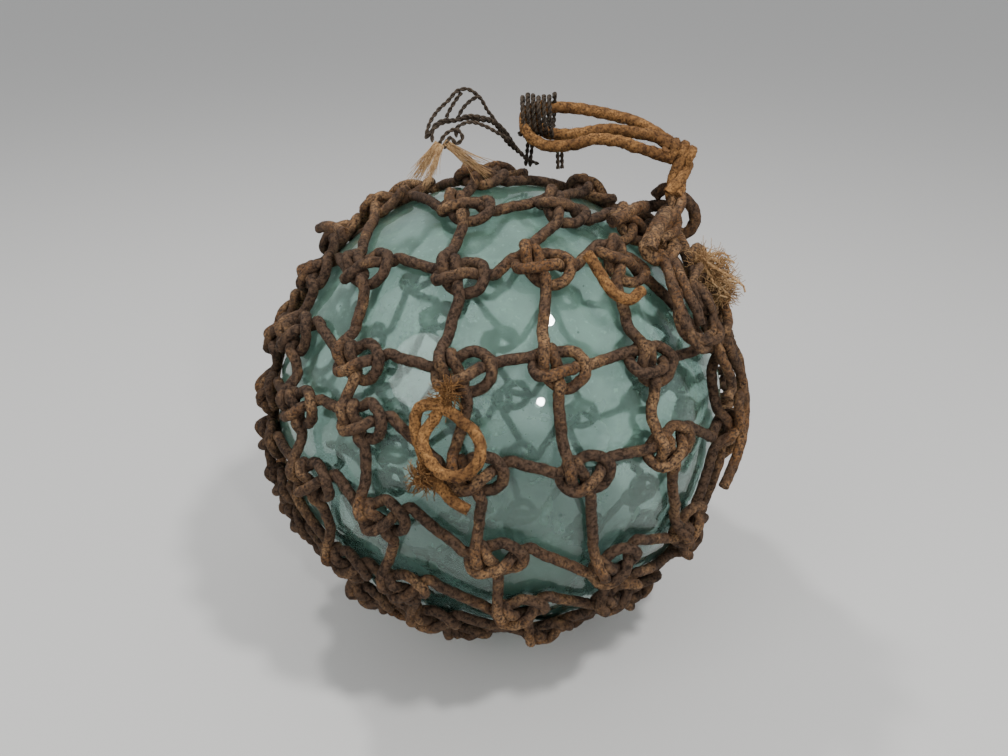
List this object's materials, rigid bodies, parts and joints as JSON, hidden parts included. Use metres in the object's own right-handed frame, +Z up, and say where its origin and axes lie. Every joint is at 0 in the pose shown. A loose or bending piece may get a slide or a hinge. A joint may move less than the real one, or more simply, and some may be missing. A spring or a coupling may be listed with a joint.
{
  "type": "glass fishing float",
  "caption": "Hollow glass float ball in a knotted rope net, with a lashed rope becket on top and frayed loose rope ends.",
  "frame": {"origin": "middle of the footprint, on the floor, under the middle of the glass ball", "axes": "+Z up; -Y is the side that faces a viewer, with the rope loop on it; +X to that viewer's right"},
  "size_m": [0.3506, 0.362, 0.4039],
  "materials": {
    "glass": "clear aqua glass, gently uneven, with small bubbles",
    "net_rope": "old tarred rope, matt and fuzzy, worn orange-brown on its high places",
    "becket_rope": "golden-brown rope, matt and fuzzy",
    "tarred_twine": "thin dark twisted twine, tarred",
    "frayed_fibre": "straw-coloured frayed rope fibre"
  },
  "bodies": {
    "root": {"glass_ball": "glass", "net": "net_rope", "becket": "becket_rope", "becket_lashing": "tarred_twine", "twine_tail": "tarred_twine", "frayed_twine": "frayed_fibre", "front_tie": "becket_rope", "side_bight": "net_rope", "side_run": "net_rope", "loose_end": "net_rope", "left_end": "net_rope", "frayed_tail": "frayed_fibre"}
  },
  "joints": []
}
